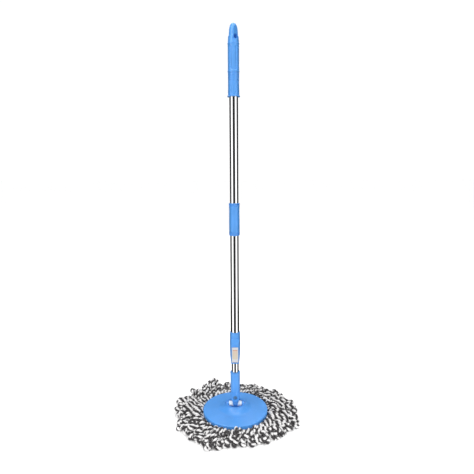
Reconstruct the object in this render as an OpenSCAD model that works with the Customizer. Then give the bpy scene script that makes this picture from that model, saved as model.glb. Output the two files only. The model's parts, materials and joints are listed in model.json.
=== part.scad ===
// Spin mop: push-to-spin telescopic pole, two-axis swivel, round plate and clip-on yarn refill.
// Millimetres. +Z runs up the pole and the origin is on the floor under the centre of the head.
// The front, where the lock lever is, faces -Y.

/* [Head] */
// Diameter of the round plate that carries the refill
plate_d = 160; // [156:1:166]
// Height of the plate's outer top edge above the floor
plate_top = 30; // [29:0.5:32]
// Diameter of the yarn fringe as it lies spread on the floor
fringe_d = 304; // [280:2:320]
// Height of the yarn fringe outside the plate
fringe_h = 26; // [24:1:28]

/* [Swivel] */
// Height of the lower swivel axis above the plate's top edge
trunnion_rise = 12.5; // [11.5:0.25:13]
// Height of the upper swivel axis above the plate's top edge
pivot_rise = 33; // [32.5:0.5:34]
// Length of the swivel's cross barrel
barrel_l = 31.6; // [30:0.2:32]
// Radius of the fork's rounded ends
fork_r = 11.25; // [10.75:0.25:11.25]

/* [Pole] */
// Outer diameter of the two outer tubes
outer_d = 21; // [20.8:0.1:21.4]
// Outer diameter of the inner tube
inner_d = 17.5; // [17:0.1:17.6]
// Wall of the steel tubes
tube_wall = 0.45; // [0.4:0.05:0.5]
// Length of the knuckle's socket above the upper swivel axis
socket_rise = 64; // [62:0.5:70]
// Length of inner tube that shows between socket and clamp
shown_gap = 25; // [22:1:30]
// Height of the joint between the two outer tubes
tube_joint = 505; // [500:1:520]
// Length of the middle sleeve
sleeve_l = 76; // [70:1:84]
// Slanted notches round each end of the middle sleeve
knurls = 20; // [12:2:24]

/* [Spin drive] */
// Rise of the twisted strip in one full turn
lead = 90; // [80:5:110]
// Width of the twisted strip
strip_w = 9; // [8.4:0.1:9]
// Thickness of the twisted strip
strip_t = 1.4; // [1.2:0.1:1.4]
// Teeth on each face of the one-way clutch
clutch_teeth = 8; // [8]

/* [Clamp] */
// Length of the clamp's housing
clamp_l = 78; // [76:1:88]
// Width of the lock lever
lever_w = 15.2; // [14:0.2:15.4]
// Length of the lock lever from its hinge axis to its tip
lever_l = 36; // [34:1:39]

/* [Grip] */
// Height of the grip's lower flange above the floor
grip_bottom = 781; // [760:1:785]
// Length of the grip
grip_l = 115; // [112:1:120]
// Lengthwise flutes round the grip
flutes = 6; // [4:2:10]

/* [Hanger] */
// Diameter of the hanging hole
hole_d = 10; // [8:0.5:10.5]
// Turn of the hanging hole about the pole
hang_turn = 45; // [0:5:90]

/* [Hidden] */
$fn = 64;
eps = 0.01;

// Colours
blue = [0.24, 0.55, 0.93];
pale_blue = [0.86, 0.95, 1.0];
steel = [0.75, 0.75, 0.77];
nylon = [0.93, 0.93, 0.90];
dark_yarn = [0.35, 0.34, 0.35];

// Fits
rest_gap = 0.4;      // between soft parts and what lies on them
run_gap = 0.05;      // radial clearance of a pin that turns
push_gap = 0.05;     // radial clearance of parts fixed in each other

// Plate and hub
plate_r = plate_d / 2;
plate_skin = 2.4;
rim_bottom = plate_top - 9.9;
cone_top = plate_top + 1.9;    // top of the plate's shallow cone, where the neck starts to rise
seat_r = 24;                   // recess that holds the hub bracket
seat_z = plate_top - 2.4;
seat_floor = seat_z - plate_skin;
hub_r = seat_r - 0.4;
hub_wall = 3.6;
hub_base = seat_z + 0.1;
hub_floor = hub_base + 2.1;
hub_top = plate_top + 14;      // top of the neck's collar round the swivel
neck_r = seat_r + 1.4;         // outer radius of the plate's neck at its top
neck_w = 20;                   // width of the neck's flare
neck_rise = hub_top - 0.7 - cone_top;
collar_r = 44.6;               // collar that the refill ring clips on
collar_wall = 2.6;
collar_bottom = rim_bottom - 3.1;
rib_count = 8;
rib_t = 1.6;
rib_bottom = plate_top - 7;
boss_r = 10;                   // centre boss with the spin basket's socket
basket_r = 6;
basket_depth = 8;
lug_count = 6;
hub_screw_ring = hub_r - hub_wall / 2;

// Swivel
trunnion_z = plate_top + trunnion_rise;
pivot_z = plate_top + pivot_rise;
trunnion_pin_r = 2;
barrel_r = 6.3;
spindle_r = 4.5;
cross_r = 7.1;                 // radius of the cross between its two bushes
ear_r = 4.3;
ear_in = barrel_l / 2 + 0.4;
ear_out = hub_r - 2;
tongue_t = 9.8;
tongue_r = 9;
washer_t = 0.36;
cheek_in = tongue_t / 2 + washer_t + 0.14;
cheek_out = cheek_in + 5.4;
pivot_r = 2.5;
pivot_head_r = 4.2;
pivot_boss_r = 8.8;
cheek_round = 12.7;            // radius that trims the cheeks' outer corners
pivot_sink = 3.4;
nut_corner_r = 4.6;
nut_t = 2.6;
web_z = pivot_z + fork_r;

// Pole
outer_r = outer_d / 2;
outer_bore = outer_r - tube_wall;
inner_r = inner_d / 2;
inner_bore = inner_r - tube_wall;
socket_r = 11.6;
socket_top = pivot_z + socket_rise;
socket_floor = web_z + 7.5;
inner_bottom = socket_floor + 0.5;
inner_top = tube_joint - 75;
clamp_bottom = socket_top + shown_gap;
clamp_top = clamp_bottom + clamp_l;
outer_bottom = clamp_bottom + 34;
outer_top = grip_bottom + grip_l - 3;
screw_r = 1.5;

// Clutch at the top of the inner tube
core_bore = strip_w / 2 + 0.6;
slide_r = outer_bore - 0.15;
seat_floor_z = inner_top + 7;
tooth_h = 1.2;
tooth_seat_h = tooth_h + 0.2;
tooth_gap = 0.2;
tooth_angle = 360 / clutch_teeth - 25;
core_r = slide_r - 1.9;
core_z = seat_floor_z + tooth_seat_h + tooth_gap + tooth_h;
core_t = 5.4;
slot_z = core_z + core_t / 2;
slot_t = 2.5;
washer_z = core_z + core_t + 0.3;
cap_z = washer_z + 1;
cap_t = 3;
spigot_r = core_bore + 1.3;
guide_z = cap_z + cap_t + 0.3;
guide_t = 4;

// Twisted strip, held by the plug at the joint of the outer tubes
strip_bottom = clamp_bottom + 20;
strip_top = tube_joint - 11;
plug_l = 46;
anchor_z = tube_joint - 16;
sleeve_screw_rises = [-8, 8];  // from the tubes' joint

// Clamp
lever_pivot_y = -14;
lever_pivot_z = clamp_bottom + 7.5;
lever_pin_r = 1.3;
cam_base_r = 2.5;
cam_offset = 1;
cam_lobe_r = 2.3;
lever_face = lever_pivot_y - cam_base_r;
lever_t = 3.6;
pad_face = lever_pivot_y + cam_offset + cam_lobe_r + 0.1;
pad_back = 5;                  // depth at which the pad's window ends, from the pole's axis
pad_w = 13;
pad_h = 9;
boss_half = 9.7;               // half width of the clamp's front boss
boss_face = -15.9;
inlay_w = 11.4;
inlay_l = 24;
inlay_z = lever_pivot_z + 6.5;

// Grip and hanger
grip_r = 12.8;
grip_top = grip_bottom + grip_l;
cap_top = grip_top + 41;
hole_z = grip_top + 13;
cap_half_t = 7;                // half thickness between the cap's two flats

// ---- Helpers ----

// A tube, or a rod when r_in is 0, from z0 to z1
module tube(r_out, r_in, z0, z1) {
    translate([0, 0, z0]) difference() {
        cylinder(r = r_out, h = z1 - z0);
        if (r_in > 0) translate([0, 0, -1]) cylinder(r = r_in, h = z1 - z0 + 2);
    }
}

// A rod along X or along Y, through the height z
module x_rod(r, x0, x1, z) {
    translate([x0, 0, z]) rotate([0, 90, 0]) cylinder(r = r, h = x1 - x0);
}

module y_rod(r, y0, y1, z, sides = $fn) {
    translate([0, y1, z]) rotate([90, 0, 0]) cylinder(r = r, h = y1 - y0, $fn = sides);
}

// A flat outline in (Y, Z), carried along X
module along_x(x0, x1) {
    translate([x0, 0, 0]) rotate([90, 0, 90]) linear_extrude(x1 - x0) children();
}

// A flat outline in (X, Z), carried along Y
module along_y(y0, y1) {
    translate([0, y1, 0]) rotate([90, 0, 0]) linear_extrude(y1 - y0) children();
}

// Points of an arc about [x, y]
function arc(x, y, r, from, to, steps = 6) =
    [for (i = [0:steps]) let (a = from + (to - from) * i / steps) [x + r * cos(a), y + r * sin(a)]];

// A solid of revolution from points [radius, height]
module turned(points) {
    rotate_extrude() polygon(points);
}

// Face teeth between two radii, each a block that a ring trims
module face_teeth(r_in, r_out, z0, z1, turn) {
    intersection() {
        tube(r_out, r_in, z0, z1);
        for (i = [0:clutch_teeth - 1]) rotate([0, 0, turn + 360 * i / clutch_teeth])
            translate([0, 0, z0]) linear_extrude(z1 - z0)
                polygon([[0, 0], 2 * r_out * [cos(tooth_angle / 2), -sin(tooth_angle / 2)],
                         2 * r_out * [cos(tooth_angle / 2), sin(tooth_angle / 2)]]);
    }
}

// A self-tapping screw that goes in along -Y from the back, with its head outside y = seat
module back_screw(seat, tip, z) {
    y_rod(screw_r - 0.3, tip, seat, z);
    y_rod(2.7, seat, seat + 1.4, z);
}

// ---- Refill ----

// Hard ring that clips on the plate's collar
module refill_ring() color("whitesmoke") {
    ring_in = collar_r + 0.6;
    top = rim_bottom - 1.3;
    turned([[ring_in, top - 3], [60, top - 3], [60, top], [ring_in + 2, top],
            [ring_in + 2, rib_bottom - 0.6], [ring_in, rib_bottom - 0.6]]);
}

// Woven band that the yarn is stitched to
module backing_cloth() color("lightgray")
    tube(plate_r - 1, 47.6, rim_bottom - 1.1, rim_bottom - rest_gap);

// Outer form of the spread yarn
module yarn_fringe() color(dark_yarn) {
    r = fringe_d / 2;
    low = rim_bottom - 1.3;
    turned(concat(
        [[52, 0], [r - 4, 0]],
        arc(r - 12, 12, 12, -48, 70, 10),
        [[r - 30, fringe_h - 1], [plate_r + 12, fringe_h], [plate_r + 5, fringe_h - 2],
         [plate_r + 1.3, low], [60.4, low], [60.4, low - 3.4], [52, low - 3.4]]));
}

// ---- Plate ----

module mop_plate() color(blue) difference() {
    union() {
        turned(concat(
            [[plate_r - 2.2, rim_bottom], [plate_r, rim_bottom]],
            arc(plate_r - 2.5, plate_top - 2.5, 2.5, 0, 85),
            [for (i = [10:-1:0]) neck_point(i / 10, 0)],
            [[seat_r + 0.4, hub_top - 0.7], [seat_r, hub_top - 1.1], [seat_r, seat_z], [0, seat_z],
             [0, seat_floor], [seat_r + 2.2, seat_floor], [seat_r + 2.2, neck_point(0.2, 3)[1]]],
            [for (i = [2:10]) neck_point(i / 10, 3)],
            [[plate_r - 2.2, plate_top - 2.7]]));
        tube(collar_r, collar_r - collar_wall, collar_bottom, cone_top - 1);
        tube(boss_r, 0, collar_bottom, seat_floor + eps);
        for (i = [0:rib_count - 1]) rotate([0, 0, 360 * (i + 0.5) / rib_count]) plate_rib();
        for (i = [0:lug_count - 1]) rotate([0, 0, 360 * i / lug_count]) clip_lug();
    }
    tube(basket_r, 0, collar_bottom - 1, collar_bottom + basket_depth);
    at_hub_screws() tube(screw_r - 0.1, 0, seat_floor - 1, seat_z + 1);
}

// Point of the neck's flare, from its lip (0) to the plate's cone (1), so far below its surface
function neck_point(share, below) =
    [neck_r + neck_w * share, cone_top + neck_rise * pow(1 - share, 2.2) - below];

// Radial rib under the plate, from the boss to the rim, following the plate's cone
module plate_rib() {
    along_y(-rib_t / 2, rib_t / 2) polygon([
        [boss_r - 1, rib_bottom], [plate_r - 1, rib_bottom], [plate_r - 1, plate_top - 4],
        [seat_r + 1.5, cone_top - 1.3], [seat_r, seat_z - 1], [boss_r - 1, seat_z - 1]]);
}

module clip_lug() {
    intersection() {
        tube(collar_r + 0.4, collar_r - 1, collar_bottom, collar_bottom + 2);
        translate([collar_r, 0, collar_bottom + 1]) cube([6, 8, 4], center = true);
    }
}

module at_hub_screws() {
    for (a = [45:90:315]) rotate([0, 0, a]) translate([hub_screw_ring, 0, 0]) children();
}

module hub_bracket() color(blue) difference() {
    union() {
        turned(concat(
            [[0, hub_base], [hub_r, hub_base]],
            arc(hub_r - 1.4, hub_top - 1.4, 1.4, 0, 90),
            [[hub_r - hub_wall + 1, hub_top], [hub_r - hub_wall, hub_top - 1],
             [hub_r - hub_wall, hub_floor], [0, hub_floor]]));
        for (side = [-1, 1]) mirror([side < 0 ? 1 : 0, 0, 0]) ear();
    }
    x_rod(trunnion_pin_r + push_gap, -seat_r, seat_r, trunnion_z);
    at_hub_screws() tube(screw_r - 0.2, 0, hub_base - 1, hub_base + 10.4);
}

// Upright ear that carries one end of the trunnion pin
module ear() {
    along_x(ear_in, ear_out) {
        translate([0, trunnion_z]) circle(r = ear_r);
        polygon([[-6.5, hub_floor - 1], [6.5, hub_floor - 1], [ear_r, trunnion_z], [-ear_r, trunnion_z]]);
    }
}

module hub_screws() color(steel) at_hub_screws() {
    tube(screw_r - 0.25, 0, seat_floor - eps, hub_base + 10);
    tube(2.5, 0, seat_floor - 1.8, seat_floor - eps);
}

// Plain pin, kept in by the plate's neck
module trunnion_pin() color(steel) x_rod(trunnion_pin_r, 0.8 - hub_r, hub_r - 0.8, trunnion_z);

// ---- Swivel ----

module swivel_cross() color(blue) difference() {
    union() {
        x_rod(spindle_r, 0.2 - barrel_l / 2, barrel_l / 2 - 0.2, trunnion_z);
        intersection() {
            x_rod(cross_r, -9, 9, trunnion_z);
            along_y(-9, 9) cross_face(0);
        }
        along_y(-tongue_t / 2, tongue_t / 2) {
            translate([0, pivot_z]) circle(r = tongue_r);
            cross_face(0);
            translate([-8, trunnion_z + 8]) square([16, pivot_rise - trunnion_rise - 8]);
        }
    }
    x_rod(trunnion_pin_r + run_gap, -barrel_l, barrel_l, trunnion_z);
    y_rod(pivot_r + run_gap, -tongue_t, tongue_t, pivot_z);
}

// Front outline of the cross's middle, narrower towards its bottom
module cross_face(extra) {
    translate([0, trunnion_z]) polygon([
        [-8 - extra, 9], [-3.6 - extra, -7.2 - extra], [3.6 + extra, -7.2 - extra], [8 + extra, 9]]);
}

// Two bushes on the cross's spindle, one on each side of its middle
module swivel_bushes() color(pale_blue) difference() {
    translate([0, 0, trunnion_z]) rotate([0, 90, 0]) turned([
        [spindle_r + push_gap, -barrel_l / 2], [barrel_r - 0.8, -barrel_l / 2],
        [barrel_r, 0.8 - barrel_l / 2], [barrel_r, barrel_l / 2 - 0.8],
        [barrel_r - 0.8, barrel_l / 2], [spindle_r + push_gap, barrel_l / 2]]);
    along_y(-9, 9) cross_face(push_gap);
}

module knuckle_socket() color(blue) difference() {
    union() {
        for (side = [-1, 1]) fork_cheek(side);
        y_rod(pivot_boss_r, -cheek_out - 0.6, -cheek_out + eps, pivot_z);
        turned([
            [0, web_z], [fork_r, web_z], [socket_r - 0.1, web_z + 12], [socket_r, socket_top - 4],
            [socket_r + 0.5, socket_top - 3.4], [socket_r + 0.5, socket_top - 1], [socket_r, socket_top],
            [inner_r + push_gap, socket_top], [inner_r + push_gap, socket_floor], [0, socket_floor]]);
    }
    y_rod(pivot_r + push_gap, -20, 20, pivot_z);
    y_rod(pivot_head_r + 0.9, -cheek_out - 2, -cheek_out + pivot_sink, pivot_z);
    y_rod(nut_corner_r + 0.1, cheek_out - nut_t - 0.2, cheek_out + 1, pivot_z, 6);
    y_rod(screw_r, 0, 20, socket_top - 28);
}

// One cheek of the fork, carried up into the socket's base and rounded off about the pole's axis
module fork_cheek(side) {
    near = side < 0 ? -cheek_out : cheek_in;
    intersection() {
        along_y(near, near + cheek_out - cheek_in) {
            translate([0, pivot_z]) circle(r = fork_r);
            translate([-fork_r, pivot_z]) square([2 * fork_r, fork_r + 2]);
        }
        tube(cheek_round, 0, pivot_z - 20, web_z + 4);
    }
}

module pivot_screw() color(steel) {
    top = pivot_sink - cheek_out;
    y_rod(pivot_r, top - eps, cheek_out - 0.2, pivot_z);
    difference() {
        y_rod(pivot_head_r, top - 2.2, top - eps, pivot_z);
        for (turn = [0, 90]) translate([0, top - 2.2, pivot_z]) rotate([0, turn, 0])
            cube([5, 2, 0.9], center = true);
    }
}

module pivot_nut() color(steel) difference() {
    y_rod(nut_corner_r, cheek_out - nut_t - 0.1, cheek_out - 0.1, pivot_z, 6);
    y_rod(pivot_r + push_gap, 0, 20, pivot_z);
}

module friction_washers() color("dimgray") for (side = [-1, 1]) {
    near = side < 0 ? -tongue_t / 2 - washer_t - 0.07 : tongue_t / 2 + 0.07;
    difference() {
        y_rod(8, near, near + washer_t, pivot_z);
        y_rod(pivot_r + run_gap, near - 1, near + 1, pivot_z);
    }
}

// ---- Inner pole and clutch ----

module inner_tube() color(steel) difference() {
    tube(inner_r, inner_bore, inner_bottom, inner_top);
    y_rod(screw_r, 0, 20, socket_top - 28);
}

module socket_screw() color(steel) back_screw(socket_r + 0.05, 5, socket_top - 28);

// Plug in the tube's end, with the clutch's cup and fixed face teeth above it
module clutch_housing() color(nylon) {
    turned([
        [core_bore, inner_top - 22], [inner_bore - push_gap, inner_top - 22],
        [inner_bore - push_gap, inner_top + eps], [slide_r, inner_top + eps], [slide_r, cap_z - eps],
        [core_r + 0.3, cap_z - eps], [core_r + 0.3, seat_floor_z], [core_bore, seat_floor_z]]);
    face_teeth(core_bore + 0.3, core_r + 0.1, seat_floor_z - 0.5, seat_floor_z + tooth_seat_h, 0);
}

// Cap over the cup, with the hollow spigot that the guide ring turns on
module clutch_cap() color(nylon) turned([
    [core_bore, cap_z], [slide_r, cap_z], [slide_r, cap_z + cap_t], [spigot_r, cap_z + cap_t],
    [spigot_r, guide_z + guide_t + 0.2], [spigot_r + 0.7, guide_z + guide_t + 0.3],
    [spigot_r + 0.4, guide_z + guide_t + 1.4], [core_bore, guide_z + guide_t + 1.4]]);

module thrust_washer() color("goldenrod") tube(core_r, core_bore + 0.1, washer_z, washer_z + 0.6);

// Slotted core that the strip turns, with face teeth that catch the housing on the down stroke
module ratchet_core() color("dimgray") difference() {
    union() {
        tube(core_r, 0, core_z, core_z + core_t);
        face_teeth(core_bore + 0.3, core_r - 0.1, core_z - tooth_h, core_z + 0.5, 180 / clutch_teeth);
    }
    tube(core_bore, 0, core_z - 5, slot_z - slot_t / 2);
    tube(core_bore, 0, slot_z + slot_t / 2, core_z + core_t + 1);
    translate([0, 0, slot_z]) cube([strip_w + 0.6, strip_t + 1.9, 2 * core_t], center = true);
}

module guide_ring() color(nylon)
    tube(outer_bore - 0.1, spigot_r + 0.2, guide_z, guide_z + guide_t);

// ---- Outer pole ----

module outer_tube_lower() color(steel) difference() {
    tube(outer_r, outer_bore, outer_bottom, tube_joint - 0.2);
    y_rod(screw_r, 0, 20, clamp_top - 14);
    y_rod(screw_r, 0, 20, tube_joint + sleeve_screw_rises[0]);
}

module outer_tube_upper() color(steel) difference() {
    tube(outer_r, outer_bore, tube_joint + 0.2, outer_top);
    y_rod(screw_r, 0, 20, tube_joint + sleeve_screw_rises[1]);
}

// Flanged bush in the outer tube's lower end; the inner tube slides in it
module lower_bush() color(nylon) {
    tube(outer_bore - push_gap, inner_r + 0.1, outer_bottom - eps, outer_bottom + 14);
    tube(outer_r, inner_r + 0.1, outer_bottom - 2.5, outer_bottom - eps);
}

// Plug that joins the outer tubes and holds the strip's upper end
module coupler_plug() color(nylon) difference() {
    tube(outer_bore - push_gap, 0, tube_joint - plug_l / 2, tube_joint + plug_l / 2);
    tube(core_bore, 0, tube_joint - plug_l / 2 - 1, tube_joint - 5);
    tube(7.4, 0, tube_joint + 1, tube_joint + plug_l / 2 + 1);
    anchor_turn() y_rod(1.5, -20, 20, anchor_z);
    for (rise = sleeve_screw_rises) y_rod(screw_r - 0.2, 6, 20, tube_joint + rise);
}

// Turns its children to face the strip's broad side at the anchor pin
module anchor_turn() {
    rotate([0, 0, strip_angle(anchor_z)]) children();
}

module anchor_pin() color(steel) anchor_turn() y_rod(1.45, -9.4, 9.4, anchor_z);

function strip_angle(z) = 360 * (z - slot_z) / lead;

module twisted_strip() color(steel) difference() {
    length = strip_top - strip_bottom;
    translate([0, 0, strip_bottom]) rotate([0, 0, strip_angle(strip_bottom)])
        linear_extrude(length, twist = -360 * length / lead, slices = round(length / 2.5), $fn = 8)
            square([strip_w, strip_t], center = true);
    anchor_turn() y_rod(1.6, -20, 20, anchor_z);
}

// Collar crimped on the strip's lower end, which stops the pole from being pulled apart
module strip_stop() color(steel) difference() {
    tube(6.5, 0, strip_bottom - 4, strip_bottom + 4);
    tube(strip_w / 2 + 0.1, 0, strip_bottom - push_gap, strip_bottom + 5);
}

module mid_sleeve() color(blue) difference() {
    half = sleeve_l / 2;
    translate([0, 0, tube_joint]) turned([
        [outer_r + push_gap, -half], [11.4, -half], [12.3, -half + 1.5], [12.5, -half + 5],
        [12.5, -5], [12.25, 10], [12.2, half - 14], [12.5, half - 5], [12.7, half - 2.5],
        [12.5, half - 0.6], [12, half], [outer_r + push_gap, half]]);
    for (i = [0:knurls - 1]) rotate([0, 0, 360 * i / knurls]) {
        knurl(tube_joint + half - 4, 35);
        knurl(tube_joint + 5 - half, -35);
    }
    for (rise = sleeve_screw_rises) y_rod(screw_r, 0, 20, tube_joint + rise);
}

// Slanted notch in the sleeve's rim
module knurl(z, slant) {
    translate([0, 12.7, z]) rotate([0, slant, 0]) cube([1.9, 2.3, 8], center = true);
}

module sleeve_screws() color(steel)
    for (rise = sleeve_screw_rises) back_screw(12.55, 8.2, tube_joint + rise);

module grip() color(blue) difference() {
    turned([
        [outer_r + push_gap, grip_bottom], [14.3, grip_bottom], [14.8, grip_bottom + 0.8],
        [14.5, grip_bottom + 1.9], [grip_r + 0.2, grip_bottom + 3], [grip_r - 0.2, grip_bottom + 32],
        [grip_r, grip_bottom + 52], [grip_r + 0.7, grip_bottom + 54], [grip_r + 0.1, grip_bottom + 57],
        [grip_r, grip_top - 4], [grip_r + 0.6, grip_top - 2.4], [grip_r + 0.3, grip_top - 0.8],
        [grip_r, grip_top], [outer_r + push_gap, grip_top]]);
    for (i = [0:flutes - 1]) rotate([0, 0, 360 * (i + 0.5) / flutes]) {
        flute(grip_bottom + 60, grip_top - 10, 1.1);
        flute(grip_bottom + 9, grip_bottom + 30, 0.6);
    }
    for (rise = [35:5:50]) translate([0, 0, grip_bottom + rise]) ring_groove(grip_r - 0.7, 1.3);
}

// Round-ended groove cut lengthwise into the grip
module flute(z0, z1, depth) {
    r = 4;
    translate([0, grip_r - depth + r, 0]) {
        tube(r, 0, z0, z1);
        for (z = [z0, z1]) translate([0, 0, z]) sphere(r = r);
    }
}

module ring_groove(r, width) {
    tube(grip_r + 3, r, -width / 2, width / 2);
}

// Closed top of the grip: a plug in the tube and a pointed cap with two flats and the hanging hole
module hang_cap() color(blue) difference() {
    union() {
        tube(outer_bore - 0.05, 0, outer_top - 21, outer_top + eps);
        tube(outer_r, 0, outer_top, grip_top + 1);
        translate([0, 0, grip_top]) turned(concat(
            [[0, 0.1], [grip_r - 0.1, 0.1], [12.4, 3], [11.9, 12], [10.3, 15.6]],
            [for (i = [0:10]) nose_point(i / 10)]));
    }
    rotate([0, 0, hang_turn]) {
        y_rod(hole_d / 2, -20, 20, hole_z);
        for (near = [cap_half_t, -cap_half_t - 20])
            translate([-20, near, hole_z - hole_d / 2 - 2]) cube([40, 20, cap_top]);
    }
}

// Point of the cap's nose, from its foot (0) to its tip (1): an ellipse squared off by its exponents
function nose_point(share) = [
    10.1 * pow(cos(90 * share), 0.72),
    18 + (cap_top - grip_top - 18) * pow(sin(90 * share), 0.95)];

// ---- Clamp ----

module lock_housing() color(blue) difference() {
    union() {
        turned([
            [inner_r + 0.15, clamp_bottom], [9.6, clamp_bottom], [10.3, clamp_bottom + 1],
            [11.2, clamp_bottom + 9], [12.1, clamp_bottom + 20], [12.8, clamp_bottom + 48],
            [12.5, clamp_top - 16], [12.3, clamp_top - 3], [11.8, clamp_top],
            [outer_r + push_gap, clamp_top], [outer_r + push_gap, outer_bottom - 3],
            [inner_r + 0.4, outer_bottom - 3], [inner_r + 0.4, clamp_bottom + 2],
            [inner_r + 0.15, clamp_bottom + 2]]);
        front_boss();
    }
    lever_pocket();
    translate([0, lever_pivot_y, 0]) x_rod(lever_pin_r + push_gap, -boss_half + 0.4, boss_half - 0.4, lever_pivot_z);
    pad_window();
    y_rod(screw_r, 0, 20, clamp_top - 14);
}

// Raised front of the housing that the lever lies in: side outline crossed with top outline
module front_boss() {
    difference() {
        intersection() {
            along_x(-boss_half, boss_half) polygon([
                [0, clamp_bottom + 1.5], [boss_face + 2.5, clamp_bottom + 1.5], [boss_face, clamp_bottom + 5],
                [boss_face, clamp_bottom + 50], [-12.4, clamp_bottom + 64], [0, clamp_bottom + 64]]);
            translate([0, 0, clamp_bottom]) linear_extrude(clamp_l) polygon(concat(
                [[-boss_half, 0]], arc(3.5 - boss_half, boss_face + 3.5, 3.5, 180, 270),
                arc(boss_half - 3.5, boss_face + 3.5, 3.5, 270, 360), [[boss_half, 0]]));
        }
        tube(outer_r + push_gap + 0.3, 0, clamp_bottom, clamp_top);
    }
}

module lever_pocket() {
    top = lever_pivot_z + lever_l + 0.6;
    translate([-lever_w / 2 - 0.3, -20, lever_pivot_z - cam_base_r - 0.7])
        cube([lever_w + 0.6, 20 + lever_face + lever_t + 0.5, top - lever_pivot_z + cam_base_r + 0.7]);
    translate([-4.5, -20, top - 1]) cube([9, 5.4, 6]);
    translate([0, lever_pivot_y, 0])
        x_rod(cam_base_r + 0.4, -lever_w / 2 - 0.3, lever_w / 2 + 0.3, lever_pivot_z);
}

// Window through the housing's wall for the pad
module pad_window() {
    translate([-pad_w / 2 - 0.1, pad_face - 3, lever_pivot_z - pad_h / 2 - 0.1])
        cube([pad_w + 0.2, 3 - pad_face - pad_back, pad_h + 0.2]);
}

module housing_screw() color(steel) back_screw(12.6, outer_bore + 0.05, clamp_top - 14);

module lever_pin() color(steel) translate([0, lever_pivot_y, 0])
    x_rod(lever_pin_r, -boss_half + 0.5, boss_half - 0.5, lever_pivot_z);

// Lever with its cam; closed, the cam's lobe points at the pad
module lock_lever() color("white") difference() {
    union() {
        along_x(-lever_w / 2, lever_w / 2) {
            translate([lever_pivot_y, lever_pivot_z]) circle(r = cam_base_r);
            polygon([
                [lever_face, lever_pivot_z], [lever_face, lever_pivot_z + lever_l - 1.5],
                [lever_face + 1.2, lever_pivot_z + lever_l], [lever_face + 2.6, lever_pivot_z + lever_l],
                [lever_face + 2.6, lever_pivot_z + 7], [lever_face + lever_t, lever_pivot_z + 3],
                [lever_face + lever_t, lever_pivot_z]]);
        }
        along_x(-pad_w / 2 + 1, pad_w / 2 - 1)
            translate([lever_pivot_y + cam_offset, lever_pivot_z]) circle(r = cam_lobe_r);
    }
    translate([0, lever_pivot_y, 0]) x_rod(lever_pin_r + run_gap, -10, 10, lever_pivot_z);
    translate([-inlay_w / 2 - push_gap, lever_face - 1, inlay_z - push_gap])
        cube([inlay_w + 2 * push_gap, 1.5, inlay_l + 2 * push_gap]);
}

module lever_inlay() color("bisque")
    translate([-inlay_w / 2, lever_face + 0.1, inlay_z]) cube([inlay_w, 0.38, inlay_l]);

// Brake shoe between cam and inner tube
module brake_pad() color("dimgray") difference() {
    translate([-pad_w / 2, pad_face, lever_pivot_z - pad_h / 2]) cube([pad_w, 6, pad_h]);
    tube(inner_r + run_gap, 0, clamp_bottom, clamp_top);
    translate([-pad_w, -6.2, clamp_bottom]) cube([2 * pad_w, 10, clamp_l]);
}

// ---- Nodes ----

refill_ring();
backing_cloth();
yarn_fringe();
mop_plate();
hub_bracket();
hub_screws();
trunnion_pin();
swivel_cross();
swivel_bushes();
knuckle_socket();
pivot_screw();
pivot_nut();
friction_washers();
inner_tube();
socket_screw();
clutch_housing();
clutch_cap();
thrust_washer();
ratchet_core();
guide_ring();
outer_tube_lower();
outer_tube_upper();
lower_bush();
coupler_plug();
anchor_pin();
twisted_strip();
strip_stop();
mid_sleeve();
sleeve_screws();
grip();
hang_cap();
lock_housing();
housing_screw();
lever_pin();
lock_lever();
lever_inlay();
brake_pad();
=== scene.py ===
"""Spin mop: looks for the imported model, in its own frame (metres, +Z up the pole, -Y the front)."""

import json
import math

import bpy
import numpy as np
from mathutils import Matrix, Vector


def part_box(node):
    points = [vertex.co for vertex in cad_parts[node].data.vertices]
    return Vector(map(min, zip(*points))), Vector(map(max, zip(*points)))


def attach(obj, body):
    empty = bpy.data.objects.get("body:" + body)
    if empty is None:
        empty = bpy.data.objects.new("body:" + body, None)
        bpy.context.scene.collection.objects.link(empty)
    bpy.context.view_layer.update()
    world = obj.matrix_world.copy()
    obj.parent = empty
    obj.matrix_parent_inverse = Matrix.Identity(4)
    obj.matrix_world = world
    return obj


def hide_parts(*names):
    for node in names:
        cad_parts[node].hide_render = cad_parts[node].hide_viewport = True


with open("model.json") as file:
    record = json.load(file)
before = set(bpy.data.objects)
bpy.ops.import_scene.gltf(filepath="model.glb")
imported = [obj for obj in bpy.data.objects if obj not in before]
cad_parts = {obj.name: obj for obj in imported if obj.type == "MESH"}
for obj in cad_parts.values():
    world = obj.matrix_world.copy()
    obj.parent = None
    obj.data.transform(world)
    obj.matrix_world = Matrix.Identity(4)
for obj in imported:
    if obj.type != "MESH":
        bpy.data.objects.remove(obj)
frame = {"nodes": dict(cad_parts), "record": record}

MM = 0.001
TURN = 2 * math.pi

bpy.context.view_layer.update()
record = frame["record"]


# ---- Camera, floor and light ----

EYE = Vector((0.0060, -1.001, 0.616))      # where the camera stands
PITCH = math.radians(8.68)                 # how far it looks down
ROLL = math.radians(-0.27)
FIELD = 430 / 474                          # focal length over the width of the picture
SENSOR = 36.0


def make_camera():
    camera = bpy.data.objects.new("camera", bpy.data.cameras.new("camera"))
    camera.data.sensor_width = SENSOR
    camera.data.lens = SENSOR * FIELD
    camera.matrix_world = (
        Matrix.Translation(EYE)
        @ Matrix.Rotation(math.pi / 2 - PITCH, 4, "X")
        @ Matrix.Rotation(ROLL, 4, "Z")
    )
    bpy.context.collection.objects.link(camera)
    bpy.context.scene.camera = camera


def make_light(name, place, target, size, power, colour=(1, 1, 1)):
    """A square soft box of a given size that faces target."""
    data = bpy.data.lights.new(name, "AREA")
    data.size = size
    data.energy = power
    data.color = colour
    light = bpy.data.objects.new(name, data)
    light.location = place
    light.rotation_euler = (Vector(target) - Vector(place)).to_track_quat("-Z", "Y").to_euler()
    bpy.context.collection.objects.link(light)
    return light


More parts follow.
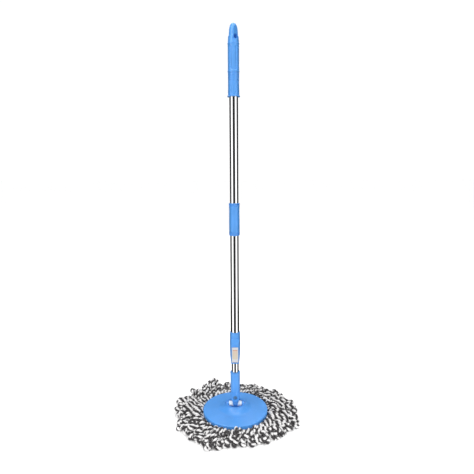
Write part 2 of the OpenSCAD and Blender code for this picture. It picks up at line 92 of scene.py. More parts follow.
make_camera()
bpy.context.scene.view_settings.view_transform = "Standard"


# ---- Nodes ----

class Tree:
    """A node tree; each socket of a new node is given as a value or as another node's output."""

    def __init__(self, tree):
        self.tree = tree

    def add(self, kind, sockets=None, out=0, **settings):
        new = self.tree.nodes.new(kind)
        for name, value in settings.items():
            setattr(new, name, value)
        for key, value in (sockets or {}).items():
            socket = new.inputs[key]
            if isinstance(value, bpy.types.NodeSocket):
                self.tree.links.new(value, socket)
            else:
                socket.default_value = value
        return new.outputs[out] if new.outputs else None

    def math(self, operation, a, b=0.0, clamp=False):
        return self.add("ShaderNodeMath", {0: a, 1: b}, operation=operation, use_clamp=clamp)

    def mix(self, share, a, b, blend="MIX"):
        """Mixes two colours."""
        return self.add(
            "ShaderNodeMix", {0: share, 6: a, 7: b}, out=2, data_type="RGBA", blend_type=blend)

    def shaded(self, colour, shade):
        """Multiplies a colour by a grey shade."""
        grey = self.add("ShaderNodeCombineColor", {0: shade, 1: shade, 2: shade})
        return self.mix(1.0, colour, grey, "MULTIPLY")

    def parts(self, vector):
        """The X, Y and Z of a vector, by name."""
        new = self.tree.nodes.new("ShaderNodeSeparateXYZ")
        self.tree.links.new(vector, new.inputs[0])
        return new.outputs

    def spread(self, value, low, high, to_low=0.0, to_high=1.0):
        """Takes the range low to high to the range to_low to to_high."""
        return self.add(
            "ShaderNodeMapRange",
            {"Value": value, "From Min": low, "From Max": high, "To Min": to_low, "To Max": to_high})

    def noise(self, where, scale, detail=2.0, roughness=0.5):
        return self.add(
            "ShaderNodeTexNoise",
            {"Vector": where, "Scale": scale, "Detail": detail, "Roughness": roughness})

    def stretched(self, where, scale):
        return self.add("ShaderNodeMapping", {"Vector": where, "Scale": scale})

    def bump(self, height, strength, distance, normal=None):
        sockets = {"Height": height, "Strength": strength, "Distance": distance}
        if normal is not None:
            sockets["Normal"] = normal
        return self.add("ShaderNodeBump", sockets)


def make_group(name, inputs, outputs, fill):
    """A shader node group; inputs and outputs are (name, kind, value), and fill makes its nodes."""
    group = bpy.data.node_groups.new(name, "ShaderNodeTree")
    for label, kind, value in inputs:
        socket = group.interface.new_socket(label, in_out="INPUT", socket_type=kind)
        if value is not None:
            socket.default_value = value
    for label, kind in outputs:
        group.interface.new_socket(label, in_out="OUTPUT", socket_type=kind)
    tree = Tree(group)
    given = group.nodes.new("NodeGroupInput")
    result = group.nodes.new("NodeGroupOutput")
    for label, socket in fill(tree, given.outputs).items():
        group.links.new(socket, result.inputs[label])
    return group


COLOUR, NUMBER, VECTOR = "NodeSocketColor", "NodeSocketFloat", "NodeSocketVector"


def moulded_skin(tree, given):
    """Moulded plastic: cloudy colour, fine grain, scuffs and a faint orange peel."""
    where = given["Where"]
    cloud = tree.noise(where, 24.0, 3.0)
    grain = tree.noise(where, given["Grain scale"], 2.0)
    scuff_lines = tree.noise(tree.stretched(where, (260.0, 900.0, 40.0)), 1.0, 2.0)
    scuffs = tree.spread(scuff_lines, 0.66, 0.74)
    shade = tree.spread(cloud, 0.3, 0.7, 0.93, 1.05)
    tinted = tree.shaded(given["Colour"], shade)
    worn = tree.mix(tree.math("MULTIPLY", scuffs, 0.16), tinted, (0.92, 0.95, 1.0, 1.0))
    rough = tree.math("ADD", given["Roughness"], tree.spread(grain, 0.3, 0.7, -0.05, 0.05))
    rough = tree.math("ADD", rough, tree.math("MULTIPLY", scuffs, 0.15))
    peel = tree.bump(cloud, 0.05, 0.0006)
    normal = tree.bump(grain, given["Grain"], 0.00012, peel)
    return {"Colour": worn, "Roughness": rough, "Normal": normal}


def drawn_metal(tree, given):
    """Drawn or rolled metal: hair lines along Z, cloudy polish and small specks."""
    where = given["Where"]
    lines = tree.noise(tree.stretched(where, (2600.0, 2600.0, 14.0)), 1.0, 3.0, 0.65)
    cloud = tree.noise(where, 18.0, 2.0)
    specks = tree.spread(tree.noise(where, 1400.0, 1.0), 0.72, 0.8)
    shade = tree.spread(lines, 0.3, 0.7, 0.95, 1.03)
    tinted = tree.shaded(given["Colour"], shade)
    spotted = tree.mix(tree.math("MULTIPLY", specks, 0.3), tinted, (0.25, 0.24, 0.22, 1.0))
    rough = tree.math("ADD", given["Roughness"], tree.spread(cloud, 0.35, 0.7, -0.02, 0.04))
    rough = tree.math("ADD", rough, tree.math("MULTIPLY", lines, given["Lines"]))
    normal = tree.bump(lines, given["Lines"], 0.00003)
    return {"Colour": spotted, "Roughness": rough, "Normal": normal}


def fibre_nap(tree, given):
    """Microfibre: streaks along the ply's fibres, crumbs of pile, and painted shade in random patches,
    as if shade fell in hollows of the pile.
    """
    along = tree.stretched(given["Along"], (1.0, 9.0, 1.0))
    streaks = tree.noise(along, 3.2, 3.0, 0.7)
    crumbs = tree.noise(given["Where"], 900.0, 3.0, 0.75)
    # painted shade: random patches darkened in colour only, standing in for shade in the pile's hollows
    painted_hollow_shade = tree.noise(given["Where"], 330.0, 2.0)
    shade = tree.math("MULTIPLY", tree.spread(crumbs, 0.3, 0.7, 0.78, 1.06),
                      tree.spread(painted_hollow_shade, 0.3, 0.65, 0.86, 1.03))
    shade = tree.math("MULTIPLY", shade, tree.spread(streaks, 0.3, 0.7, 0.9, 1.06))
    tinted = tree.shaded(given["Colour"], shade)
    height = tree.math("ADD", crumbs, tree.math("MULTIPLY", streaks, 0.6))
    return {"Colour": tinted, "Normal": tree.bump(height, 0.9, 0.0007)}


SKIN = make_group(
    "moulded skin",
    [("Where", VECTOR, None), ("Colour", COLOUR, (1, 1, 1, 1)), ("Roughness", NUMBER, 0.3),
     ("Grain scale", NUMBER, 900.0), ("Grain", NUMBER, 0.1)],
    [("Colour", COLOUR), ("Roughness", NUMBER), ("Normal", VECTOR)], moulded_skin)
DRAWN = make_group(
    "drawn metal",
    [("Where", VECTOR, None), ("Colour", COLOUR, (1, 1, 1, 1)), ("Roughness", NUMBER, 0.1),
     ("Lines", NUMBER, 0.1)],
    [("Colour", COLOUR), ("Roughness", NUMBER), ("Normal", VECTOR)], drawn_metal)
NAP = make_group(
    "fibre nap",
    [("Where", VECTOR, None), ("Along", VECTOR, None), ("Colour", COLOUR, (1, 1, 1, 1))],
    [("Colour", COLOUR), ("Normal", VECTOR)], fibre_nap)


def new_material(name):
    """An empty material; returns it with its tree and a way to close it with a Principled shader."""
    material = bpy.data.materials.new(name)
    material.use_nodes = True
    material.node_tree.nodes.clear()
    tree = Tree(material.node_tree)

    def close(sockets):
        shader = tree.add("ShaderNodeBsdfPrincipled", sockets)
        tree.add("ShaderNodeOutputMaterial", {"Surface": shader})
        return material

    return tree, close


def place(group, tree, sockets):
    """Puts a node group in a material and returns its outputs by name."""
    new = tree.tree.nodes.new("ShaderNodeGroup")
    new.node_tree = group
    for label, value in sockets.items():
        if isinstance(value, bpy.types.NodeSocket):
            tree.tree.links.new(value, new.inputs[label])
        else:
            new.inputs[label].default_value = value
    return new.outputs


def plastic(name, colour, roughness, grain=0.1, grain_scale=900.0, **extra):
    tree, close = new_material(name)
    where = tree.add("ShaderNodeTexCoord", out="Object")
    skin = place(SKIN, tree, {"Where": where, "Colour": (*colour, 1), "Roughness": roughness,
                              "Grain": grain, "Grain scale": grain_scale})
    return close({"Base Color": skin["Colour"], "Roughness": skin["Roughness"],
                  "Normal": skin["Normal"], **extra})


def metal(name, colour, roughness, lines):
    tree, close = new_material(name)
    where = tree.add("ShaderNodeTexCoord", out="Object")
    drawn = place(DRAWN, tree, {"Where": where, "Colour": (*colour, 1), "Roughness": roughness,
                                "Lines": lines})
    return close({"Base Color": drawn["Colour"], "Roughness": drawn["Roughness"],
                  "Normal": drawn["Normal"], "Metallic": 1.0})


def yarn(name, colour, other, from_share, to_share):
    """One ply: its own colour, with short lengths of the other ply's colour along it."""
    tree, close = new_material(name)
    where = tree.add("ShaderNodeTexCoord", out="Object")
    along = tree.add("ShaderNodeUVMap", uv_map="ply")
    dyed = tree.noise(tree.stretched(along, (1.0, 0.12, 1.0)), 0.95, 1.0)
    share = tree.spread(dyed, from_share, to_share)
    mixed = tree.mix(share, (*colour, 1), (*other, 1))
    nap = place(NAP, tree, {"Where": where, "Along": along, "Colour": mixed})
    return close({"Base Color": nap["Colour"], "Normal": nap["Normal"], "Roughness": 0.95,
                  "Sheen Weight": 0.35, "Sheen Roughness": 0.6, "Specular IOR Level": 0.15})


blue_plastic = plastic("blue plastic", (0.083, 0.335, 0.83), 0.36,
                       **{"Coat Weight": 0.12, "Coat Roughness": 0.15})
pale_nylon = plastic("pale nylon", (0.84, 0.94, 1.0), 0.25,
                     **{"Coat Weight": 0.4, "Coat Roughness": 0.1})
white_plastic = plastic("white plastic", (0.64, 0.64, 0.66), 0.3)
refill_plastic = plastic("refill plastic", (0.72, 0.72, 0.7), 0.45, grain=0.3)
inner_nylon = plastic("inner nylon", (0.72, 0.71, 0.64), 0.5, grain=0.2)
core_plastic = plastic("core plastic", (0.02, 0.02, 0.022), 0.4)
dark_rubber = plastic("dark rubber", (0.016, 0.016, 0.016), 0.75, grain=0.5)
tube_steel = metal("tube steel", (0.60, 0.60, 0.61), 0.06, 0.03)
strip_steel = metal("strip steel", (0.55, 0.55, 0.56), 0.3, 0.2)
screw_steel = metal("screw steel", (0.42, 0.42, 0.44), 0.28, 0.1)
dark_steel = plastic("dark steel", (0.11, 0.24, 0.42), 0.4)
washer_brass = metal("washer brass", (0.75, 0.52, 0.22), 0.25, 0.1)
CHARCOAL, WHITE = (0.028, 0.024, 0.027), (0.97, 0.96, 0.96)
dark_yarn = yarn("dark yarn", CHARCOAL, WHITE, 0.61, 0.65)
white_yarn = yarn("white yarn", WHITE, CHARCOAL, 0.55, 0.59)


STITCH_STEP = 6.3 * MM     # between two rows of stitches
THREADS = 420.0            # thread waves, in radians for each unit of the weave's map


def band_cloth():
    """Plain weave: threads along and across, and rows of stitches round the band."""
    tree, close = new_material("band cloth")
    where = tree.add("ShaderNodeTexCoord", out="Object")
    flat = tree.add("ShaderNodeUVMap", uv_map="weave")
    parts = tree.parts(flat)
    across = tree.math("SINE", tree.math("MULTIPLY", parts["X"], THREADS))
    upward = tree.math("SINE", tree.math("MULTIPLY", parts["Y"], THREADS))
    threads = tree.math("MULTIPLY", across, upward)
    radius = tree.add("ShaderNodeVectorMath", {0: where}, out="Value", operation="LENGTH")
    row = tree.math("SINE", tree.math("MULTIPLY", radius, math.pi / STITCH_STEP))
    row = tree.math("ABSOLUTE", row)
    stitch = tree.spread(row, 0.16, 0.06)
    shade = tree.spread(threads, -1.0, 1.0, 0.85, 1.0)
    cloth = tree.shaded((0.60, 0.60, 0.60, 1), shade)
    colour = tree.mix(tree.math("MULTIPLY", stitch, 0.7), cloth, (0.8, 0.8, 0.8, 1))
    height = tree.math("SUBTRACT", tree.math("MULTIPLY", threads, 0.4), stitch)
    return close({"Base Color": colour, "Roughness": 0.9, "Normal": tree.bump(height, 0.8, 0.0003),
                  "Sheen Weight": 0.2, "Specular IOR Level": 0.2})


PANEL_LINE_DROP = 1.3 * MM  # from the panel's top edge to its line


def lever_panel():
    """Matt cream panel with a thin reddish line across it near its top."""
    low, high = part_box("lever_inlay")
    line = high[2] - PANEL_LINE_DROP
    tree, close = new_material("cream panel")
    where = tree.add("ShaderNodeTexCoord", out="Object")
    height = tree.add("ShaderNodeSeparateXYZ", {0: where}, out="Z")
    off_line = tree.math("ABSOLUTE", tree.math("SUBTRACT", height, line))
    on_line = tree.spread(off_line, 0.9 * MM, 0.5 * MM)
    fade = tree.spread(height, low[2], high[2])
    cream = tree.mix(fade, (0.63, 0.58, 0.47, 1), (0.66, 0.51, 0.40, 1))
    colour = tree.mix(tree.math("MULTIPLY", on_line, 0.8), cream, (0.55, 0.12, 0.09, 1))
    skin = place(SKIN, tree, {"Where": where, "Colour": colour, "Roughness": 0.5, "Grain": 0.2})
    return close({"Base Color": skin["Colour"], "Roughness": skin["Roughness"],
                  "Normal": skin["Normal"]})


woven_band = band_cloth()
FINISHES = {
    "blue_plastic": blue_plastic, "pale_nylon": pale_nylon, "white_plastic": white_plastic,
    "cream_plastic": lever_panel(), "refill_plastic": refill_plastic, "inner_nylon": inner_nylon,
    "core_plastic": core_plastic, "tube_steel": tube_steel, "strip_steel": strip_steel,
    "screw_steel": screw_steel, "dark_steel": dark_steel, "washer_brass": washer_brass,
    "dark_rubber": dark_rubber, "backing": woven_band, "yarn": dark_yarn,
}
for part in record["subparts"]:
    cad = frame["nodes"][part["node"]]
    for index in range(len(cad.material_slots)):
        cad.material_slots[index].material = FINISHES[part["material_slot"]]


# ---- Pieces ----

def make_piece(name, points, faces, materials, uv=None, uv_name="ply", which=None):
    """A mesh object at the origin; uv is a pair for each face corner, which a slot for each face."""
    mesh = bpy.data.meshes.new(name)
    mesh.vertices.add(len(points))
    mesh.vertices.foreach_set("co", np.ascontiguousarray(points, dtype=np.float32).ravel())
    mesh.loops.add(faces.size)
    mesh.loops.foreach_set("vertex_index", faces.astype(np.int32).ravel())
    mesh.polygons.add(len(faces))
    mesh.polygons.foreach_set("loop_start", np.arange(0, faces.size, faces.shape[1], dtype=np.int32))
    mesh.polygons.foreach_set("use_smooth", np.ones(len(faces), dtype=bool))
    for material in materials:
        mesh.materials.append(material)
    if which is not None:
        mesh.polygons.foreach_set("material_index", which.astype(np.int32))
    if uv is not None:
        layer = mesh.uv_layers.new(name=uv_name)
        layer.data.foreach_set("uv", np.ascontiguousarray(uv, dtype=np.float32).ravel())
    mesh.update()
    mesh.validate()
    piece = bpy.data.objects.new(name, mesh)
    bpy.context.collection.objects.link(piece)
    return piece


def smooth_step(value, low, high):
    share = np.clip((value - low) / (high - low), 0, 1)
    return share * share * (3 - 2 * share)


# ---- Yarn ----

LOOPS = 105                # closed loops of yarn
JOINTS = 46                # points along each loop while it settles
FINE = 184                 # rings along each finished ply
SIDES = 10                 # points round a ply
YARN_R = 4.7 * MM          # half the thickness of the two plies together
TWIST = 16 * MM            # length of one turn of the plies
INNER_R = 54 * MM          # where the loops start, under the plate
LAYERS_UNDER = np.array([4.0, 8.6, 13.4])   # mm, each layer's height under the plate
LAYERS_ABOVE = np.array([9.0, 20.0, 31.0])  # mm, and just outside its rim
LAYERS_END = np.array([6.0, 16.0, 25.0])    # mm, and at the loops' ends
RAISED = 14                # loops that lie a little higher than the rest
ROUNDS, QUICK_ROUNDS = 200, 60
PER_PIECE = 5              # loops in one piece
PLATE_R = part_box("mop_plate")[1][0]
RIM_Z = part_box("backing_cloth")[1][2] + 10.3 * MM   # the plate's outer top edge
PLATE_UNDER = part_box("backing_cloth")[0][2]
RING_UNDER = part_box("refill_ring")[0][2]
RING_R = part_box("refill_ring")[1][0]


def thickness(radius):
    """The yarn is squeezed where it is stitched, and opens as it leaves the plate."""
    return YARN_R * (0.55 + 0.45 * smooth_step(radius, INNER_R, 96 * MM))


def spaced(paths, count):
    """Closed paths (loops, points, 3) taken to count points at equal steps along each."""
    ends = np.concatenate([paths, paths[:, :1]], axis=1)
    steps = np.linalg.norm(np.diff(ends, axis=1), axis=2)
    gone = np.concatenate([np.zeros((len(paths), 1)), np.cumsum(steps, axis=1)], axis=1)
    made = np.empty((len(paths), count, 3))
    for i in range(len(paths)):
        at = np.linspace(0, gone[i, -1], count, endpoint=False)
        for k in range(3):
            made[i, :, k] = np.interp(at, gone[i], ends[i, :, k])
    return made


def laid_loops(rng):
    """Long thin loops spread round the plate in three layers.

    Along its own radius, a loop is u = middle - half length x cos, and v = half width x sin, both
    squared off. Sines of u sway it sideways, its end curls to one side with the square of u, and
    its height falls from its layer to the floor. How far the loops reach depends on the heading, and
    two bell curves of the heading lift their ends into tufts behind the plate.
    """
    headings = np.arange(0, 360, 15)
    reaches = MM * np.array([162, 161, 164, 163, 161, 158, 158, 163, 166, 166, 166, 159,
                             151, 144, 136, 129, 147, 110, 107, 120, 123, 121, 134, 149])
    layer = np.arange(LOOPS) % 3
    heading = TURN * (np.arange(LOOPS) + rng.uniform(-0.6, 0.6, LOOPS)) / LOOPS
    reach = np.interp(np.degrees(heading), headings, reaches, period=360)
    reach = reach - 2 * MM * layer + rng.uniform(-0.012, 0.005, LOOPS)
    back = np.clip(np.sin(heading - 0.3), 0, 1)
    lift = rng.uniform(0, 9, LOOPS) * MM * back
    tufts = [tall * np.exp(-((np.degrees(heading) - middle) / breadth) ** 2)
             for tall, middle, breadth in [(46, 118, 10), (24, 145, 12)]]
    lift = lift + MM * sum(tufts) * rng.uniform(0.4, 1, LOOPS)
    lift[rng.permutation(LOOPS)[:RAISED]] += 8 * MM

    def each(low, high):
        return rng.uniform(low, high, (LOOPS, 1))

    t = np.linspace(0, TURN, 160, endpoint=False)[None, :]
    cos, sin = np.cos(t), np.sin(t)
    along = -np.sign(cos) * np.abs(cos) ** 0.55
    across = np.sign(sin) * np.abs(sin) ** 0.45
    u = INNER_R + (reach[:, None] - INNER_R) * (1 + along) / 2
    out = smooth_step(u, 0.07, 0.11)
    width = (2.6 + each(1.8, 4.2) * out) * MM
    sway = each(1, 3.5) * MM * np.sin(TURN * (u - INNER_R) / each(0.035, 0.075) + each(0, TURN))
    sway = sway + each(0.5, 1.6) * MM * np.sin(TURN * (u - INNER_R) / each(0.02, 0.03) + each(0, TURN))
    curl = each(-15, 15) * MM * (np.maximum(u - PLATE_R, 0) / (65 * MM)) ** 2
    v = width * across + (sway + curl) * out + 1.5 * MM * out * np.sin(3 * t + each(0, TURN))
    under = LAYERS_UNDER[layer][:, None] * MM
    above = LAYERS_ABOVE[layer][:, None] * MM + each(-2, 3) * MM
    end = LAYERS_END[layer][:, None] * MM + lift[:, None]
    z = under + (above - under) * smooth_step(u, PLATE_R - 2 * MM, PLATE_R + 14 * MM)
    z = z + (end - above) * smooth_step(u, 0.105, 0.145)
    z = z + 4 * MM * out * np.sin(2 * t + each(0, TURN))
    c, s = np.cos(heading)[:, None], np.sin(heading)[:, None]
    return spaced(np.stack([u * c - v * s, u * s + v * c, z], axis=2), JOINTS)


def near_pairs(points, reach, loop_of, place_of):
    """Pairs of points closer than reach that aren't neighbours along one loop."""
    flat = points.astype(np.float32)
    square = (flat ** 2).sum(axis=1)
    gap = square[:, None] + square[None, :] - 2 * flat @ flat.T
    a, b = np.nonzero(np.triu(gap < reach ** 2, 1))
    apart = np.abs(place_of[a] - place_of[b])
    apart = np.minimum(apart, JOINTS - apart)
    keep = (loop_of[a] != loop_of[b]) | (apart > 3)
    return a[keep], b[keep]


def keep_out(points, half):
    """Holds the yarn on the floor, under the ring and the band, and outside the plate's rim."""
    x, y, z = points.T
    radius = np.hypot(x, y)
    under = radius < PLATE_R + half * 0.3
    ceiling = np.where(radius < RING_R + half, RING_UNDER, PLATE_UNDER) - half * 0.9
    low = z < RIM_Z - 12 * MM
    z = np.where(under & low, np.minimum(z, ceiling), z)
    push = np.where(~(under & low) & (z < RIM_Z + half) & (radius < PLATE_R + half * 1.05),
                    (PLATE_R + half * 1.05) / np.maximum(radius, 1e-6), 1.0)
    z = np.maximum(z, half * 0.92)
    return np.stack([x * push, y * push, z], axis=1)


def settle(paths, rounds):
    """Lets the loops drop, by steps of: fall, push touching yarn apart, hold lengths, smooth."""
    loops, joints, _ = paths.shape
    loop_of = np.repeat(np.arange(loops), joints)
    place_of = np.tile(np.arange(joints), loops)
    length = np.linalg.norm(np.roll(paths, -1, axis=1) - paths, axis=2).mean(axis=1)[:, None]
    home = paths.copy()
    home_r = np.hypot(home[..., 0], home[..., 1])
    held = (1 - smooth_step(home_r, 0.066, 0.080))[..., None]
    falling = 0.12 * MM * (0.25 + 0.75 * smooth_step(home_r, 0.088, 0.115)) * (1 - held[..., 0])
    for step in range(rounds):
        flat = paths.reshape(-1, 3)
        half = thickness(np.hypot(flat[:, 0], flat[:, 1]))
        if step % 8 == 0:
            a, b = near_pairs(flat, 2 * YARN_R + 4 * MM, loop_of, place_of)
        paths[..., 2] -= falling
        flat = paths.reshape(-1, 3)
        for _ in range(2):
            gap = flat[a] - flat[b]
            far = np.linalg.norm(gap, axis=1) + 1e-9
            want = 0.93 * (half[a] + half[b])
            move = (0.42 * np.maximum(want - far, 0) / far)[:, None] * gap
            shift = np.zeros_like(flat)
            np.add.at(shift, a, move)
            np.add.at(shift, b, -move)
            flat = flat + np.clip(shift, -1.5 * MM, 1.5 * MM)
            flat = keep_out(flat, half)
        paths = flat.reshape(loops, joints, 3)
        ahead = np.roll(paths, -1, axis=1) - paths
        far = np.linalg.norm(ahead, axis=2) + 1e-9
        pull = (0.4 * (far - length) / far)[..., None] * ahead
        paths = paths + pull - np.roll(pull, 1, axis=1)
        middle = (np.roll(paths, -1, axis=1) + np.roll(paths, 1, axis=1)) / 2
        paths = paths + 0.05 * (middle - paths)
        paths = paths + 0.25 * held * (home - paths)
    flat = paths.reshape(-1, 3)
    half = thickness(np.hypot(flat[:, 0], flat[:, 1]))
    return keep_out(flat, half).reshape(loops, joints, 3)


def finer(paths, count):
    """Closed paths taken to count points on the Catmull-Rom curve through theirs."""
    joints = paths.shape[1]
    at = np.arange(count) * joints / count
    i = at.astype(int)
    t = (at - i)[None, :, None]
    p0, p1, p2, p3 = (paths[:, (i + k) % joints] for k in (-1, 0, 1, 2))
    return 0.5 * (2 * p1 + (p2 - p0) * t + (2 * p0 - 5 * p1 + 4 * p2 - p3) * t ** 2
                  + (3 * p1 - p0 - 3 * p2 + p3) * t ** 3)


def unit(vectors):
    return vectors / (np.linalg.norm(vectors, axis=-1, keepdims=True) + 1e-12)


def along_closed(points):
    """Directions along closed paths."""
    return unit(np.roll(points, -1, axis=1) - np.roll(points, 1, axis=1))


def plies(centre, rng):
    """Two plies wound round each centre line.

    A ply's own centre goes round the line at its helix radius, once for each length of twist. Its
    skin is an oval round that, with lumps that are sums of sines and small random crumbs.
    """
    loops = len(centre)
    lengths = np.linalg.norm(np.roll(centre, -1, axis=1) - centre, axis=2).sum(axis=1)
    turns = np.round(lengths / (TWIST * rng.uniform(0.86, 1.2, loops)))
    half = thickness(np.hypot(centre[..., 0], centre[..., 1]))[..., None]
    ahead = along_closed(centre)
    side = unit(np.cross(np.array([0.0, 0.0, 1.0]), ahead))
    up = np.cross(ahead, side)
    share = np.arange(FINE)[None, :] / FINE
    start = rng.uniform(0, TURN, (loops, 1))
    around = np.arange(SIDES) * TURN / SIDES
    skins = []
    for ply in range(2):
        angle = (start - TURN * turns[:, None] * share + math.pi * ply)[..., None]
        outward = np.cos(angle) * up + np.sin(angle) * side
        core = centre + 0.46 * half * outward
        tangent = along_closed(core)
        outward = unit(outward - (outward * tangent).sum(axis=2, keepdims=True) * tangent)
        sideways = np.cross(tangent, outward)
        shift = rng.uniform(0, TURN, (loops, 1, 1))
        lumps = 1 + 0.10 * np.sin(TURN * 31 * share[..., None] + 2 * around + shift)
        lumps = lumps + 0.05 * np.sin(TURN * 47 * share[..., None] - 3 * around)
        lumps = lumps + rng.uniform(-0.07, 0.07, (loops, FINE, SIDES))
        reach = half * lumps
        skin = (core[:, :, None]
                + (0.50 * reach * np.cos(around))[..., None] * outward[:, :, None]
                + (0.58 * reach * np.sin(around))[..., None] * sideways[:, :, None])
        skin[..., 2] = np.maximum(skin[..., 2], 0.3 * MM)
        skins.append(skin)
    return skins, lengths


def yarn_faces():
    """Quads of one closed ply: ring by ring and side by side, with both ends joined."""
    ring = np.arange(FINE)[:, None]
    side = np.arange(SIDES)[None, :]
    next_ring, next_side = (ring + 1) % FINE, (side + 1) % SIDES
    corners = [ring * SIDES + side, next_ring * SIDES + side,
               next_ring * SIDES + next_side, ring * SIDES + next_side]
    faces = np.stack(np.broadcast_arrays(*corners), axis=-1).reshape(-1, 4)
    u = np.stack(np.broadcast_arrays(ring, ring + 1, ring + 1, ring), axis=-1) + 0 * side[..., None]
    v = np.stack(np.broadcast_arrays(side, side, side + 1, side + 1), axis=-1) + 0 * ring[..., None]
    return faces, u.reshape(-1, 4), v.reshape(-1, 4)


def make_yarn():
    rng = np.random.default_rng(7)
    paths = settle(laid_loops(rng), ROUNDS)
    skins, lengths = plies(finer(paths, FINE), rng)
    faces, u, v = yarn_faces()
    made = []
    for first in range(0, LOOPS, PER_PIECE):
        points, quads, uvs, which = [], [], [], []
        for loop in range(first, min(first + PER_PIECE, LOOPS)):
            for ply in range(2):
                quads.append(faces + FINE * SIDES * len(points))
                points.append(skins[ply][loop].reshape(-1, 3))
                uvs.append(np.stack([u / FINE * lengths[loop] / (10 * MM), v / SIDES], axis=-1))
                which.append(np.full(len(faces), ply))
        piece = make_piece(
            f"yarn_{first // PER_PIECE + 1:02d}", np.concatenate(points), np.concatenate(quads),
            [dark_yarn, white_yarn], np.concatenate(uvs), which=np.concatenate(which))
        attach(piece, "refill")
        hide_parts("yarn_fringe")
        made.append(piece)
    return made


yarn_pieces = make_yarn()


# ---- Backing band ----

def make_band():
    """The stitched band: a flat ring whose two faces swell a little between the rows of stitches."""
    low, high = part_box("backing_cloth")
    outer, inner = high[0], 47.6 * MM
    rows, columns = 40, 240
    radius = np.linspace(inner, outer, rows)[:, None]
    turn = np.linspace(0, TURN, columns, endpoint=False)[None, :]
    swell = 0.06 * MM * np.cos(TURN * 5 * (radius - inner) / (outer - inner)) + 0 * turn
    middle, half = (low[2] + high[2]) / 2, (high[2] - low[2]) / 2 - 0.08 * MM
    top = np.stack([radius * np.cos(turn), radius * np.sin(turn), middle + half + swell], axis=2)
    bottom = np.stack([radius * np.cos(turn), radius * np.sin(turn), middle - half - swell], axis=2)
    grid = np.concatenate([top, bottom[::-1]])
    r = np.arange(2 * rows)[:, None]
    c = np.arange(columns)[None, :]
    nr, nc = (r + 1) % (2 * rows), (c + 1) % columns
    corners = [r * columns + c, nr * columns + c, nr * columns + nc, r * columns + nc]
    faces = np.stack(np.broadcast_arrays(*corners), axis=-1).reshape(-1, 4)
    uv = np.stack([grid.reshape(-1, 3)[faces][..., 0], grid.reshape(-1, 3)[faces][..., 1]], axis=-1) * 10
    piece = make_piece("backing_band", grid.reshape(-1, 3), faces, [woven_band], uv, "weave")
    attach(piece, "refill")
    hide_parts("backing_cloth")
    return piece, outer, inner


band, band_outer, band_inner = make_band()


# ---- Studio ----

def make_floor():
    tree, close = new_material("studio floor")
    where = tree.add("ShaderNodeTexCoord", out="Object")
    fine = tree.noise(where, 300.0, 2.0)
    colour = tree.mix(fine, (0.95, 0.95, 0.95, 1), (0.98, 0.98, 0.98, 1))
    finish = close({"Base Color": colour, "Roughness": 0.9, "Specular IOR Level": 0.1})
    span = 30.0
    points = np.array([[-span, -span, 0], [span, -span, 0], [span, span, 0], [-span, span, 0]])
    floor = make_piece("floor", points, np.array([[0, 1, 2, 3]]), [finish])


def upright_ring(turn, radius, low, high):
    """Points on two rings, one above the other, at the angles in turn."""
    ring = np.stack([radius * np.cos(turn), radius * np.sin(turn)], axis=1)
    return np.concatenate([np.c_[ring, np.full(len(turn), low)], np.c_[ring, np.full(len(turn), high)]])


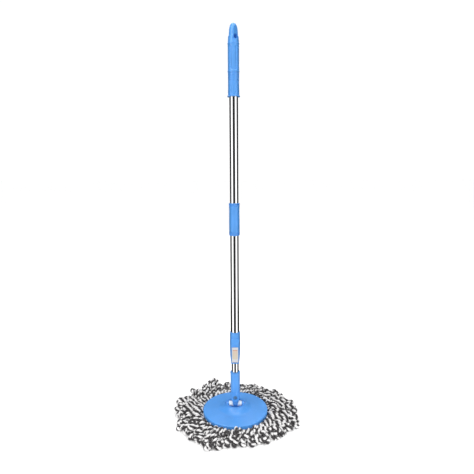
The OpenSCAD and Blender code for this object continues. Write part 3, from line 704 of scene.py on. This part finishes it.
def make_cards():
    """Upright light and dark cards round the pole, which only its reflections see.

    The cards are one open cylinder; its glow depends on the heading from the front, and behind
    the pole it is dark near the floor.
    """
    columns = 180
    turn = np.linspace(0, TURN, columns, endpoint=False)
    points = upright_ring(turn, radius=0.20, low=0.0, high=1.4)
    c = np.arange(columns)
    n = (c + 1) % columns
    faces = np.stack([c, c + columns, n + columns, n], axis=1)
    material = bpy.data.materials.new("studio cards")
    material.use_nodes = True
    material.node_tree.nodes.clear()
    tree = Tree(material.node_tree)
    where = tree.add("ShaderNodeTexCoord", out="Object")
    parts = tree.parts(where)
    back = tree.math("MULTIPLY", parts["Y"], -1.0)
    heading = tree.math("ABSOLUTE", tree.math("ARCTAN2", parts["X"], back))
    ramp = tree.tree.nodes.new("ShaderNodeValToRGB")
    tree.tree.links.new(tree.math("DIVIDE", heading, math.pi), ramp.inputs[0])
    stops = [(0.0, 0.04), (0.145, 0.04), (0.17, 2.1), (0.385, 2.1), (0.41, 0.05),
             (0.78, 0.05), (0.80, 1.9), (0.93, 1.9), (0.95, 0.05), (1.0, 0.05)]
    while len(ramp.color_ramp.elements) < len(stops):
        ramp.color_ramp.elements.new(0.5)
    for element, (at, glow) in zip(ramp.color_ramp.elements, stops):
        element.position = at
        element.color = (glow, glow, glow, 1)
    high_up = tree.spread(parts["Z"], 0.22, 0.28)
    at_front = tree.math("LESS_THAN", heading, 0.6 * math.pi)
    strength = tree.math("MAXIMUM", high_up, at_front)
    emission = tree.add("ShaderNodeEmission", {"Color": ramp.outputs[0], "Strength": strength})
    tree.add("ShaderNodeOutputMaterial", {"Surface": emission})
    cards = make_piece("studio_cards", points, faces, [material])
    cards.visible_camera = False
    cards.visible_diffuse = False
    cards.visible_shadow = False
    cards.visible_transmission = False


def make_flags():
    """Two black upright flags at the pole's sides, which only soft light sees: they darken edges."""
    columns = 16
    black = plastic("black flag", (0.01, 0.01, 0.01), 0.9)
    for name, middle in [("left", math.pi), ("right", 0.0)]:
        turn = middle + np.linspace(-0.85, 0.85, columns)
        points = upright_ring(turn, radius=0.19, low=0.12, high=1.2)
        c = np.arange(columns - 1)
        faces = np.stack([c, c + columns, c + 1 + columns, c + 1], axis=1)
        flag = make_piece(f"studio_flag_{name}", points, faces, [black])
        flag.visible_camera = False
        flag.visible_glossy = False
        flag.visible_shadow = False
        flag.visible_transmission = False


def make_world():
    world = bpy.data.worlds.new("studio")
    world.use_nodes = True
    background = world.node_tree.nodes["Background"]
    background.inputs["Color"].default_value = (1, 1, 1, 1)
    background.inputs["Strength"].default_value = 1.04
    bpy.context.scene.world = world


make_floor()
make_cards()
make_flags()
make_world()
make_light("key light", (-1.4, -1.6, 2.2), (0, 0, 0.3), 1.6, 24)
make_light("fill light", (1.8, -1.2, 1.4), (0, 0, 0.4), 1.8, 9)
make_light("top light", (0, -0.1, 1.9), (0, 0, 0), 0.9, 9)
make_light("back light", (0.4, 1.8, 2.0), (0, 0, 0.4), 1.6, 8)
